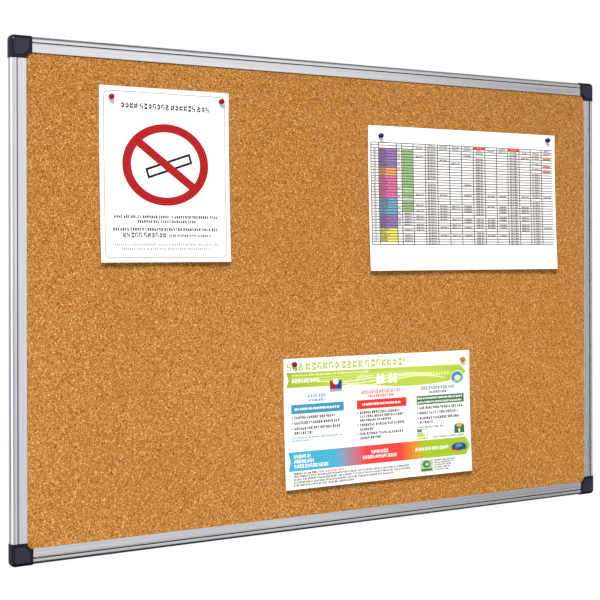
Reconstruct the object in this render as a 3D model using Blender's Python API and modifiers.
"""Cork bulletin board: an aluminium frame with plastic corners round a cork-faced panel,
with three notices held on it by ball-headed pins.

Seen from the front, +X is to the right and +Z is up. The board hangs with its back on the
plane y = 0 and its front towards -Y. The origin is the middle of the back.
"""

import math

import bmesh
import bpy
from mathutils import Matrix, Vector

# Overall size, over the corner pieces.
BOARD_WIDTH = 0.900
BOARD_HEIGHT = 0.600

# Clearance between pieces that meet, and the rails' stand-off from the wall.
GAP = 0.0003
RAIL_STANDOFF = 0.0005

# The panel's layers, front to back.
CORK_THICKNESS = 0.0023
CORE_THICKNESS = 0.0048
BACKING_THICKNESS = 0.0005

# The rail extrusion: a hollow outer bead, a web, and two lips that hold the panel's edge.
RAIL_FACE = 0.0185
RAIL_WALL = 0.0013
RAIL_WEB = 0.0012
CHAMBER_WIDTH = 0.0072
LIP_THICKNESS = 0.0012
REAR_LIP_REACH = 0.0053
FRONT_EDGE_RADIUS = 0.0050
BACK_EDGE_RADIUS = 0.0032
LIP_EDGE_RADIUS = 0.0004
CHAMBER_INNER_RADIUS = 0.0005

# The two lines along the rail's face, placed from its outer side.
GROOVE_INSET = 0.0072
GROOVE_RADIUS = 0.00065
GROOVE_FLOOR = 0.0010
LINE_INSET = 0.0093
LINE_HALF_WIDTH = 0.00028
LINE_DEPTH = 0.0003

# Corner pieces.
CORNER_SIZE = 0.026
CORNER_PROUD = 0.0008
CORNER_INNER_ROUND = 0.0010
SPIGOT_LENGTH = 0.018
SPIGOT_ROOT = 0.003
SPIGOT_TIP_SCALE = 0.8
SCREW_INSET = 0.012
SCREW_HOLE_RADIUS = 0.00225
WELL_RADIUS = 0.0045
WELL_DEPTH = 0.0045
BOSS_WALL = 0.0012

# Snap covers over the corner screws. The inset is from the corner's outer faces, and the rim
# is what stays of the corner's face along its inner edges.
COVER_INSET = 0.0040
COVER_RIM = 0.0034
COVER_THICKNESS = 0.0012
COVER_PROUD = 0.0003
COVER_SMALL_RADIUS = 0.0018
COVER_LARGE_RADIUS = 0.0090
COVER_EDGE_RADIUS = 0.0005
RING_WALL = 0.0016
RING_LENGTH = 0.0030
RING_SLOT = 0.0010

# Notices, and the pins that hold them.
SHEET_THICKNESS = 0.0004
HEAD_RADIUS = 0.00325
HEAD_LENGTH = 0.0072
HEAD_BASE_RADIUS = 0.0021
NEEDLE_RADIUS = 0.00055
NEEDLE_REACH = 0.0070
NEEDLE_SEAT = 0.0036
NEEDLE_TAPER = 0.0025

# Heights above the wall plane, worked out from the layers.
CHANNEL_BACK = RAIL_STANDOFF + LIP_THICKNESS
BACKING_BACK = CHANNEL_BACK + GAP
CORE_BACK = BACKING_BACK + BACKING_THICKNESS + GAP
CORK_BACK = CORE_BACK + CORE_THICKNESS + GAP
CORK_FRONT = CORK_BACK + CORK_THICKNESS
CHANNEL_FRONT = CORK_FRONT + GAP
RAIL_FRONT = CHANNEL_FRONT + LIP_THICKNESS
CORNER_FRONT = RAIL_FRONT + CORNER_PROUD
COVER_FRONT = CORNER_FRONT + COVER_PROUD
COVER_BACK = COVER_FRONT - COVER_THICKNESS
RECESS_FLOOR = COVER_BACK - GAP
SHEET_BACK = CORK_FRONT + GAP
SHEET_FRONT = SHEET_BACK + SHEET_THICKNESS
HEAD_BACK = SHEET_FRONT + GAP
NEEDLE_TIP = HEAD_BACK - NEEDLE_REACH

# Distances in from the board's outer faces, worked out from the rail.
CHAMBER_OUTER = CORNER_PROUD + RAIL_WALL
CHAMBER_INNER = CHAMBER_OUTER + CHAMBER_WIDTH
CHANNEL_FLOOR = CHAMBER_INNER + RAIL_WEB
PANEL_INSET = CHANNEL_FLOOR + GAP
OPENING_INSET = CORNER_PROUD + RAIL_FACE

# The corner's outer round holds the rounded edge that runs along it.
CORNER_RADIUS = FRONT_EDGE_RADIUS + CORNER_INNER_ROUND

# The panel's corners are cut off square to the diagonal, clear of the screw's boss.
# Each value is x + y along such a cut, with x and y measured from the board's corner.
PANEL_CUT = 2 * SCREW_INSET + math.sqrt(2) * (WELL_RADIUS + BOSS_WALL + GAP)
SLOT_CUT = PANEL_CUT - math.sqrt(2) * GAP

# How far a cutter passes the surface it opens.
THROUGH = 0.002

OPENING_HALF_WIDTH = BOARD_WIDTH / 2 - OPENING_INSET
OPENING_HALF_HEIGHT = BOARD_HEIGHT / 2 - OPENING_INSET

# Each notice is placed from the frame's inner edges, and each pin from its notice's top corner.
NOTICES = (
    {
        "name": "notice_sign",
        "width": 0.174,
        "height": 0.207,
        "left": -OPENING_HALF_WIDTH + 0.0897,
        "top": OPENING_HALF_HEIGHT - 0.0312,
        "pins": {"left": (0.0142, 0.0131, "pin_red"), "right": (0.0119, 0.0110, "pin_red")},
    },
    {
        "name": "notice_chart",
        "width": 0.329,
        "height": 0.191,
        "left": OPENING_HALF_WIDTH - 0.0572 - 0.329,
        "top": OPENING_HALF_HEIGHT - 0.0602,
        "pins": {"left": (0.0182, 0.0133, "pin_blue"), "right": (0.0162, 0.0076, "pin_blue")},
    },
    {
        "name": "notice_leaflet",
        "width": 0.302,
        "height": 0.165,
        "left": -0.0875,
        "top": -OPENING_HALF_HEIGHT + 0.0349 + 0.165,
        "pins": {"left": (0.0140, 0.0070, "pin_red"), "right": (0.0144, 0.0122, "pin_yellow")},
    },
)

# Corners and sides run anticlockwise from the bottom left, seen from the front.
CORNERS = (
    ("bottom_left", -BOARD_WIDTH / 2, -BOARD_HEIGHT / 2),
    ("bottom_right", BOARD_WIDTH / 2, -BOARD_HEIGHT / 2),
    ("top_right", BOARD_WIDTH / 2, BOARD_HEIGHT / 2),
    ("top_left", -BOARD_WIDTH / 2, BOARD_HEIGHT / 2),
)
SIDES = (
    ("bottom", 0, -BOARD_HEIGHT / 2, BOARD_WIDTH),
    ("right", BOARD_WIDTH / 2, 0, BOARD_HEIGHT),
    ("top", 0, BOARD_HEIGHT / 2, BOARD_WIDTH),
    ("left", -BOARD_WIDTH / 2, 0, BOARD_HEIGHT),
)

# Colour, roughness and metallic value of each finish.
FINISHES = {
    "anodised_aluminium": ((0.66, 0.67, 0.70), 0.32, 1.0),
    "corner_plastic": ((0.022, 0.022, 0.036), 0.35, 0.0),
    "cover_plastic": ((0.040, 0.044, 0.078), 0.30, 0.0),
    "cork": ((0.57, 0.25, 0.067), 0.85, 0.0),
    "softboard": ((0.42, 0.32, 0.21), 0.95, 0.0),
    "backing": ((0.52, 0.50, 0.46), 0.80, 0.0),
    "laminated_paper": ((0.90, 0.91, 0.91), 0.35, 0.0),
    "pin_red": ((0.62, 0.03, 0.03), 0.25, 0.0),
    "pin_blue": ((0.04, 0.10, 0.42), 0.25, 0.0),
    "pin_yellow": ((0.55, 0.45, 0.06), 0.25, 0.0),
    "needle_steel": ((0.60, 0.60, 0.62), 0.25, 1.0),
}


def clear_scene():
    for obj in list(bpy.data.objects):
        bpy.data.objects.remove(obj, do_unlink=True)


def make_collection(name):
    collection = bpy.data.collections.new(name)
    bpy.context.scene.collection.children.link(collection)
    return collection


def make_material(name, colour, roughness, metallic):
    material = bpy.data.materials.new(name)
    material.use_nodes = True
    shader = material.node_tree.nodes["Principled BSDF"]
    shader.inputs["Base Color"].default_value = (*colour, 1)
    shader.inputs["Roughness"].default_value = roughness
    shader.inputs["Metallic"].default_value = metallic
    material.diffuse_color = (*colour, 1)
    return material


def arc(centre_x, centre_y, radius, start, end, steps):
    """Points from one angle to another, in degrees, both ends included."""
    points = []
    for step in range(steps + 1):
        angle = math.radians(start + (end - start) * step / steps)
        points.append((centre_x + radius * math.cos(angle), centre_y + radius * math.sin(angle)))
    return points


def rounded_box(left, right, low, high, radii, steps=4):
    """Outline of a box. The radii go lower left, lower right, upper right, upper left."""
    loop = []
    loop += arc(left + radii[0], low + radii[0], radii[0], 180, 270, steps)
    loop += arc(right - radii[1], low + radii[1], radii[1], 270, 360, steps)
    loop += arc(right - radii[2], high - radii[2], radii[2], 0, 90, steps)
    loop += arc(left + radii[3], high - radii[3], radii[3], 90, 180, steps)
    return loop


def finish_mesh(mesh, merge_flat=False):
    """Welds a mesh, turns its faces outwards and shades its round stretches smooth."""
    shape = bmesh.new()
    shape.from_mesh(mesh)
    bmesh.ops.remove_doubles(shape, verts=shape.verts, dist=1e-6)
    if merge_flat:
        bmesh.ops.dissolve_limit(shape, angle_limit=0.001, verts=shape.verts, edges=shape.edges)
    bmesh.ops.recalc_face_normals(shape, faces=shape.faces)
    shape.to_mesh(mesh)
    shape.free()
    mesh.shade_smooth()
    mesh.set_sharp_from_angle(angle=math.radians(32))


def evaluated_mesh(obj):
    """A mesh of the object as it stands, with its modifiers applied."""
    bpy.context.view_layer.update()
    graph = bpy.context.evaluated_depsgraph_get()
    return bpy.data.meshes.new_from_object(obj.evaluated_get(graph))


def extruded(name, loops, low, high, merge_flat=True):
    """Mesh of flat loops in local XY, from height low to height high. Inner loops are holes."""
    curve = bpy.data.curves.new(name, "CURVE")
    curve.dimensions = "2D"
    curve.fill_mode = "BOTH"
    curve.extrude = (high - low) / 2
    for loop in loops:
        spline = curve.splines.new("POLY")
        spline.points.add(len(loop) - 1)
        for point, (x, y) in zip(spline.points, loop):
            point.co = (x, y, 0, 1)
        spline.use_cyclic_u = True
    helper = bpy.data.objects.new(name + "_curve", curve)
    bpy.context.scene.collection.objects.link(helper)
    mesh = evaluated_mesh(helper)
    bpy.data.objects.remove(helper, do_unlink=True)
    mesh.name = name
    mesh.transform(Matrix.Translation((0, 0, (low + high) / 2)))
    finish_mesh(mesh, merge_flat and len(loops) == 1)
    return mesh


def cylinder(name, centre_x, centre_y, radius, low, high, segments=24):
    mesh = bpy.data.meshes.new(name)
    shape = bmesh.new()
    place = Matrix.Translation((centre_x, centre_y, (low + high) / 2))
    bmesh.ops.create_cone(
        shape,
        cap_ends=True,
        segments=segments,
        radius1=radius,
        radius2=radius,
        depth=high - low,
        matrix=place,
    )
    shape.to_mesh(mesh)
    shape.free()
    return mesh


def box(name, low, high):
    low, high = Vector(low), Vector(high)
    mesh = bpy.data.meshes.new(name)
    shape = bmesh.new()
    place = Matrix.Translation((low + high) / 2) @ Matrix.Diagonal((*(high - low), 1))
    bmesh.ops.create_cube(shape, size=1, matrix=place)
    shape.to_mesh(mesh)
    shape.free()
    return mesh


def add_object(name, mesh, collection, material=None):
    obj = bpy.data.objects.new(name, mesh)
    collection.objects.link(obj)
    if material and not mesh.materials:
        mesh.materials.append(material)
    return obj


def add_tool(name, mesh, tools):
    """An object that only shapes others."""
    obj = add_object(name, mesh, tools)
    obj.hide_render = True
    obj.display_type = "WIRE"
    return obj


def boolean(target, tool, operation):
    modifier = target.modifiers.new(tool.name, "BOOLEAN")
    modifier.operation = operation
    modifier.solver = "EXACT"
    modifier.object = tool


def frozen(obj, tools):
    """The finished mesh of a piece that is made once and used several times."""
    mesh = evaluated_mesh(obj)
    mesh.name = obj.name
    finish_mesh(mesh)
    used = [modifier.object for modifier in obj.modifiers if modifier.type == "BOOLEAN"]
    for helper in [obj, *used]:
        bpy.data.objects.remove(helper, do_unlink=True)
    return mesh


def face_front(obj, x, z, quarter_turns=0):
    """Puts a piece drawn in XY, with its front at +Z, on the board with its front at -Y."""
    obj.location = (x, 0, z)
    obj.rotation_euler = (math.pi / 2, -quarter_turns * math.pi / 2, 0)


def bevel_edges(obj, width_of, segments):
    """Rounds each edge by width_of(its middle), where its faces don't lie in one plane."""
    shape = bmesh.new()
    shape.from_mesh(obj.data)
    layer = shape.edges.layers.float.new("bevel_weight_edge")
    widest = 0
    widths = {}
    for edge in shape.edges:
        start, end = (vert.co for vert in edge.verts)
        if abs(start.z - end.z) > GAP or edge.calc_face_angle(0) < 1:
            continue
        widths[edge] = width_of((start + end) / 2)
        widest = max(widest, widths[edge])
    for edge, width in widths.items():
        edge[layer] = width / widest
    shape.to_mesh(obj.data)
    shape.free()
    modifier = obj.modifiers.new("rounded_edges", "BEVEL")
    modifier.limit_method = "WEIGHT"
    modifier.width = widest
    modifier.segments = segments
    modifier.use_clamp_overlap = False


def chamber_outline(inset):
    """The rail's hollow, seen along the rail, or what fits in it with that clearance."""
    low = RAIL_STANDOFF + RAIL_WALL
    high = RAIL_FRONT - GROOVE_RADIUS - GROOVE_FLOOR
    front_radius = FRONT_EDGE_RADIUS - RAIL_WALL
    back_radius = BACK_EDGE_RADIUS - RAIL_WALL
    radii = [back_radius, CHAMBER_INNER_RADIUS, CHAMBER_INNER_RADIUS, front_radius]
    return rounded_box(
        CHAMBER_OUTER + inset,
        CHAMBER_INNER - inset,
        low + inset,
        high - inset,
        [max(radius - inset, GAP / 2) for radius in radii],
    )


def rail_outline():
    """The rail's section: distance in from the board's outer face, and height off the wall."""
    outer = CORNER_PROUD
    back = RAIL_STANDOFF
    front = RAIL_FRONT
    rear_lip_end = CHANNEL_FLOOR + REAR_LIP_REACH
    groove = outer + GROOVE_INSET
    line = outer + LINE_INSET
    loop = arc(outer + BACK_EDGE_RADIUS, back + BACK_EDGE_RADIUS, BACK_EDGE_RADIUS, 180, 270, 5)
    loop += [(rear_lip_end, back), (rear_lip_end, CHANNEL_BACK)]
    loop += [(CHANNEL_FLOOR, CHANNEL_BACK), (CHANNEL_FLOOR, CHANNEL_FRONT)]
    loop += [(OPENING_INSET, CHANNEL_FRONT)]
    loop += arc(
        OPENING_INSET - LIP_EDGE_RADIUS, front - LIP_EDGE_RADIUS, LIP_EDGE_RADIUS, 0, 90, 3
    )
    loop += [(line + LINE_HALF_WIDTH, front), (line, front - LINE_DEPTH)]
    loop += [(line - LINE_HALF_WIDTH, front)]
    loop += arc(groove, front, GROOVE_RADIUS, 0, -180, 6)
    loop += arc(outer + FRONT_EDGE_RADIUS, front - FRONT_EDGE_RADIUS, FRONT_EDGE_RADIUS, 90, 180, 8)
    return loop


def along_side(mesh):
    """Turns a section drawn as (inward, height) and run along Z to run along X instead."""
    mesh.transform(Matrix(((0, 0, 1, 0), (1, 0, 0, 0), (0, 1, 0, 0), (0, 0, 0, 1))))


def make_rails(board, finish):
    for turns, (side, x, z, length) in enumerate(SIDES):
        half = length / 2 - CORNER_SIZE - GAP
        mesh = extruded("rail_" + side, [rail_outline(), chamber_outline(0)], -half, half)
        along_side(mesh)
        rail = add_object("frame_rail_" + side, mesh, board, finish)
        face_front(rail, x, z, turns)


def corner_outline():
    """A square with its outer corner rounded and a bite out of its inner corner."""
    fillet = CORNER_SIZE - OPENING_INSET
    loop = arc(CORNER_RADIUS, CORNER_RADIUS, CORNER_RADIUS, 180, 270, 8)
    loop += [(CORNER_SIZE, 0)]
    loop += arc(CORNER_SIZE, CORNER_SIZE, fillet, 270, 180, 8)
    loop += [(0, CORNER_SIZE)]
    return loop


def corner_edge_width(middle):
    """Only the two outer sides and the round between them are rounded over."""
    on_side = min(middle.x, middle.y) < GAP
    on_round = max(middle.x, middle.y) < CORNER_RADIUS
    if not (on_side or on_round):
        return 0
    return FRONT_EDGE_RADIUS if middle.z > CORNER_FRONT / 2 else BACK_EDGE_RADIUS


def spigot_mesh(name):
    """The leg that plugs into a rail's chamber, narrowed at its tip."""
    start = CORNER_SIZE - SPIGOT_ROOT
    tip = CORNER_SIZE + SPIGOT_LENGTH
    outline = chamber_outline(GAP)
    mesh = extruded(name, [outline], start, tip)
    middle_x = (CHAMBER_OUTER + CHAMBER_INNER) / 2
    middle_y = sum(y for _, y in outline) / len(outline)
    for vertex in mesh.vertices:
        if vertex.co.z > (start + tip) / 2:
            vertex.co.x = middle_x + (vertex.co.x - middle_x) * SPIGOT_TIP_SCALE
            vertex.co.y = middle_y + (vertex.co.y - middle_y) * SPIGOT_TIP_SCALE
    along_side(mesh)
    return mesh


def across_diagonal(mesh):
    mesh.transform(Matrix(((0, 1, 0, 0), (1, 0, 0, 0), (0, 0, 1, 0), (0, 0, 0, 1))))
    mesh.flip_normals()


def slot_outline():
    """Room for the panel's cut corner."""
    edge = PANEL_INSET - GAP
    far = CORNER_SIZE + THROUGH
    return [(SLOT_CUT - edge, edge), (far, edge), (far, far), (edge, far), (edge, SLOT_CUT - edge)]


def cover_outline(clearance):
    low = COVER_INSET - clearance
    high = CORNER_SIZE - COVER_RIM + clearance
    small = COVER_SMALL_RADIUS + clearance
    large = COVER_LARGE_RADIUS + clearance
    return rounded_box(low, high, low, high, (small, small, large, small), 6)


def make_corner_mesh(tools):
    """The corner piece that joins two rails, holds the wall screw and hides the panel's corner."""
    block = extruded("corner_block", [corner_outline()], 0, CORNER_FRONT)
    corner = add_tool("corner_body", block, tools)
    bevel_edges(corner, corner_edge_width, 6)

    first = spigot_mesh("spigot_first")
    second = spigot_mesh("spigot_second")
    across_diagonal(second)
    for leg in (first, second):
        boolean(corner, add_tool(leg.name, leg, tools), "UNION")

    floor = RECESS_FLOOR
    above = CORNER_FRONT + THROUGH
    middle = SCREW_INSET
    cutters = (
        extruded("panel_slot", [slot_outline()], CHANNEL_BACK, CHANNEL_FRONT),
        extruded("cover_recess", [cover_outline(GAP)], floor, above),
        cylinder("screw_well", middle, middle, WELL_RADIUS, floor - WELL_DEPTH, above),
        cylinder("screw_hole", middle, middle, SCREW_HOLE_RADIUS, -THROUGH, above, 16),
    )
    for mesh in cutters:
        boolean(corner, add_tool(mesh.name, mesh, tools), "DIFFERENCE")
    return frozen(corner, tools)


def cover_edge_width(middle):
    return COVER_EDGE_RADIUS if middle.z > (COVER_FRONT + COVER_BACK) / 2 else 0


def make_cover_mesh(tools):
    """A flush plate with a split ring behind it, which snaps into the screw's well."""
    plate = extruded("cover_plate", [cover_outline(0)], COVER_BACK, COVER_FRONT)
    cover = add_tool("corner_cover", plate, tools)
    bevel_edges(cover, cover_edge_width, 2)

    ring_radius = WELL_RADIUS - GAP
    ring_end = COVER_BACK - RING_LENGTH
    ring_root = COVER_BACK + COVER_THICKNESS / 2
    middle = SCREW_INSET
    ring = cylinder("snap_ring", middle, middle, ring_radius, ring_end, ring_root)
    boolean(cover, add_tool(ring.name, ring, tools), "UNION")

    bore_end = ring_end - THROUGH
    cutters = [cylinder("ring_bore", middle, middle, ring_radius - RING_WALL, bore_end, COVER_BACK)]
    reach = ring_radius + GAP
    across = RING_SLOT / 2
    for name, half_x, half_y in (("slot_across", reach, across), ("slot_upright", across, reach)):
        low = (middle - half_x, middle - half_y, bore_end)
        high = (middle + half_x, middle + half_y, COVER_BACK)
        cutters.append(box(name, low, high))
    for mesh in cutters:
        boolean(cover, add_tool(mesh.name, mesh, tools), "DIFFERENCE")
    mesh = frozen(cover, tools)
    mesh.transform(Matrix.Translation((-middle, -middle, 0)))
    return mesh


def make_corners(board, tools, body_finish, cover_finish):
    body_mesh = make_corner_mesh(tools)
    cover_mesh = make_cover_mesh(tools)
    for turns, (place, x, z) in enumerate(CORNERS):
        body = add_object("corner_body_" + place, body_mesh, board, body_finish)
        face_front(body, x, z, turns)
        cover = add_object("corner_cover_" + place, cover_mesh, board, cover_finish)
        inward_x = math.copysign(SCREW_INSET, -x)
        inward_z = math.copysign(SCREW_INSET, -z)
        face_front(cover, x + inward_x, z + inward_z, turns)


def panel_outline():
    """The panel's rectangle with its four corners cut off."""
    half_width = BOARD_WIDTH / 2 - PANEL_INSET
    half_height = BOARD_HEIGHT / 2 - PANEL_INSET
    leg = PANEL_CUT - 2 * PANEL_INSET
    return [
        (-half_width + leg, -half_height),
        (half_width - leg, -half_height),
        (half_width, -half_height + leg),
        (half_width, half_height - leg),
        (half_width - leg, half_height),
        (-half_width + leg, half_height),
        (-half_width, half_height - leg),
        (-half_width, -half_height + leg),
    ]


def make_panel(board, finishes):
    """Cork sheet, softboard core and backing sheet. Returns the two that the pins go into."""
    layers = (
        ("cork_sheet", CORK_BACK, CORK_FRONT, "cork"),
        ("core_board", CORE_BACK, CORE_BACK + CORE_THICKNESS, "softboard"),
        ("back_sheet", BACKING_BACK, BACKING_BACK + BACKING_THICKNESS, "backing"),
    )
    made = []
    for name, back, front, finish in layers:
        mesh = extruded(name, [panel_outline()], back, front)
        layer = add_object(name, mesh, board, finishes[finish])
        face_front(layer, 0, 0)
        made.append(layer)
    return made[:2]


def turned(name, profile, steps, collection):
    """A turned piece from (radius, height) points that run down its outer side."""
    mesh = bpy.data.meshes.new(name)
    points = [(radius, 0, height) for radius, height in profile]
    mesh.from_pydata(points, [(i, i + 1) for i in range(len(points) - 1)], [])
    piece = add_object(name, mesh, collection)
    screw = piece.modifiers.new("turned", "SCREW")
    screw.steps = steps
    screw.render_steps = steps
    screw.use_merge_vertices = True
    screw.merge_threshold = 0.00001
    shaped = evaluated_mesh(piece)
    bpy.data.objects.remove(piece, do_unlink=True)
    finish_mesh(shaped)
    return shaped


def head_profile():
    """A ball that narrows towards the board, with a blind bore for its needle."""
    widest = HEAD_BACK + HEAD_LENGTH - HEAD_RADIUS
    profile = []
    for degrees in range(0, 91, 15):
        angle = math.radians(degrees)
        profile.append((HEAD_RADIUS * math.sin(angle), widest + HEAD_RADIUS * math.cos(angle)))
    spread = HEAD_RADIUS - HEAD_BASE_RADIUS
    for degrees in range(18, 91, 18):
        angle = math.radians(degrees)
        height = widest - (widest - HEAD_BACK) * math.sin(angle)
        profile.append((HEAD_BASE_RADIUS + spread * math.cos(angle), height))
    bore = NEEDLE_RADIUS + GAP
    bore_end = HEAD_BACK + NEEDLE_SEAT + GAP
    return profile + [(bore, HEAD_BACK), (bore, bore_end), (0, bore_end)]


def needle_profile():
    top = HEAD_BACK + NEEDLE_SEAT
    return [(0, top), (NEEDLE_RADIUS, top), (NEEDLE_RADIUS, NEEDLE_TIP + NEEDLE_TAPER), (0, NEEDLE_TIP)]


def stay_with(child, parent):
    """Parents a placed piece without moving it."""
    bpy.context.view_layer.update()
    child.parent = parent
    child.matrix_parent_inverse = parent.matrix_world.inverted()


def make_notice(notice, board, finish):
    """A flat sheet with its origin at its middle."""
    half_width = notice["width"] / 2
    half_height = notice["height"] / 2
    outline = rounded_box(-half_width, half_width, -half_height, half_height, [0.0008] * 4, 2)
    mesh = extruded(notice["name"], [outline], SHEET_BACK, SHEET_FRONT)
    sheet = add_object(notice["name"], mesh, board, finish)
    face_front(sheet, notice["left"] + half_width, notice["top"] - half_height)
    return sheet


def make_pin(label, x, z, head_mesh, needle_mesh, board, finishes, colour):
    head = add_object("pin_head_" + label, head_mesh.copy(), board, finishes[colour])
    needle = add_object("pin_needle_" + label, needle_mesh, board, finishes["needle_steel"])
    for piece in (head, needle):
        face_front(piece, x, z)
    stay_with(needle, head)
    return head


def make_notices(board, tools, finishes, pinned_layers):
    head_mesh = turned("pin_head", head_profile(), 20, board)
    needle_mesh = turned("pin_needle", needle_profile(), 10, board)
    hole_radius = NEEDLE_RADIUS + GAP
    hole_mesh = cylinder("pin_hole", 0, 0, hole_radius, NEEDLE_TIP - GAP, SHEET_FRONT + THROUGH, 12)
    for notice in NOTICES:
        sheet = make_notice(notice, board, finishes["laminated_paper"])
        for side, (inset, drop, colour) in notice["pins"].items():
            label = notice["name"].removeprefix("notice_") + "_" + side
            x = notice["left"] + (inset if side == "left" else notice["width"] - inset)
            z = notice["top"] - drop
            head = make_pin(label, x, z, head_mesh, needle_mesh, board, finishes, colour)
            stay_with(head, sheet)
            hole = add_tool("pin_hole_" + label, hole_mesh, tools)
            face_front(hole, x, z)
            for layer in (sheet, *pinned_layers):
                boolean(layer, hole, "DIFFERENCE")


def main():
    clear_scene()
    board = make_collection("cork_bulletin_board")
    tools = make_collection("cutters")
    finishes = {name: make_material(name, *values) for name, values in FINISHES.items()}
    make_rails(board, finishes["anodised_aluminium"])
    make_corners(board, tools, finishes["corner_plastic"], finishes["cover_plastic"])
    pinned_layers = make_panel(board, finishes)
    make_notices(board, tools, finishes, pinned_layers)


main()
